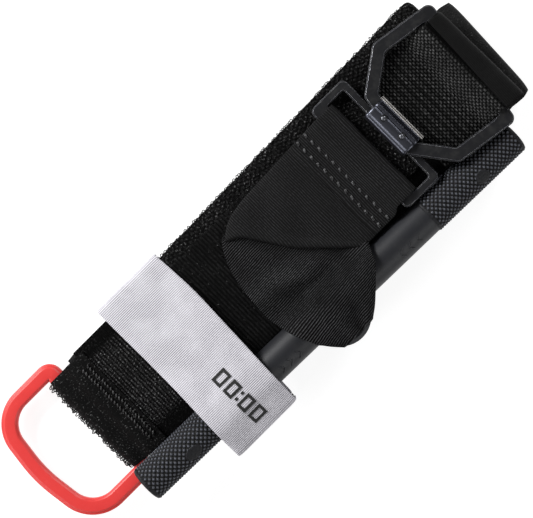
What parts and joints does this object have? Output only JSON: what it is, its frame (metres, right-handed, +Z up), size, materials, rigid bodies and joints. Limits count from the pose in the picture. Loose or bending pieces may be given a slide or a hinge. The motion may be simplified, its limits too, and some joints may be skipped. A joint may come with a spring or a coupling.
{
  "type": "strap tourniquet",
  "caption": "Folded strap tourniquet with a windlass, hexagonal quick-release buckle, pull ring and a write-on band that holds the windlass.",
  "frame": {"origin": "on the surface the pack lies on, near the middle of the folded belt's underside", "axes": "+X along the folded belt towards the buckle, +Y away from the windlass, +Z up"},
  "size_m": [0.1966, 0.0644, 0.0218],
  "materials": {
    "belt_webbing": "coarse woven",
    "loop_pile": "brushed loop pile",
    "hook_tape": "ribbed hook tape",
    "tab_webbing": "loop pile webbing",
    "stitch_thread": "bonded thread",
    "red_plastic": "satin moulded",
    "dark_plastic": "moulded, knurled grips",
    "ribbon": "fine ribbed grosgrain",
    "band_fabric": "fine ribbed",
    "print_ink": "flat print",
    "coated_metal": "satin black coating, bright worn edges",
    "gunmetal": "satin gunmetal",
    "polished_metal": "polished"
  },
  "bodies": {
    "belt": {"main_belt": "belt_webbing", "loop_panel": "loop_pile", "hook_panel": "hook_tape", "pull_tab": "tab_webbing", "tab_stitching": "stitch_thread", "windlass_ribbon": "ribbon", "ribbon_stitching": "stitch_thread", "band_anchor": "band_fabric", "band_loop_patch": "loop_pile", "buckle_webbing": "belt_webbing", "hem_sleeve": "ribbon"},
    "pull_ring": {"pull_ring": "red_plastic"},
    "windlass": {"windlass": "dark_plastic"},
    "time_band": {"time_band": "band_fabric", "band_hook_patch": "hook_tape", "time_field": "print_ink"},
    "release_frame": {"release_frame": "coated_metal"},
    "release_ring": {"release_ring": "coated_metal", "clasp": "gunmetal", "clasp_rivets": "gunmetal", "clasp_bar": "polished_metal"}
  },
  "joints": [
    {"name": "pull_ring_swing", "type": "hinge", "parent": "belt", "child": "pull_ring", "pos_m": [-0.0713, 0.00865, 0.00385], "axis": [0, 1, 0], "range_deg": [-75, 25]},
    {"name": "time_band_peel", "type": "hinge", "parent": "belt", "child": "time_band", "pos_m": [-0.03425, 0.0319, 0.0129], "axis": [-1, 0, 0], "range_deg": [0, 150]},
    {"name": "windlass_turn", "type": "hinge", "parent": "belt", "child": "windlass", "pos_m": [0.0055, -0.0183, 0.0119], "axis": [0, 0, 1], "range_deg": [-0.5, 0.5]},
    {"name": "release_ring_lift", "type": "hinge", "parent": "belt", "child": "release_ring", "pos_m": [0.0871, 0.005, 0.0181], "axis": [0.1478, 0.989, 0], "range_deg": [0, 120]},
    {"name": "release_frame_tilt", "type": "hinge", "parent": "belt", "child": "release_frame", "pos_m": [0.0455, 0.008, 0.0155], "axis": [0, -1, 0], "range_deg": [0, 1.5]}
  ]
}
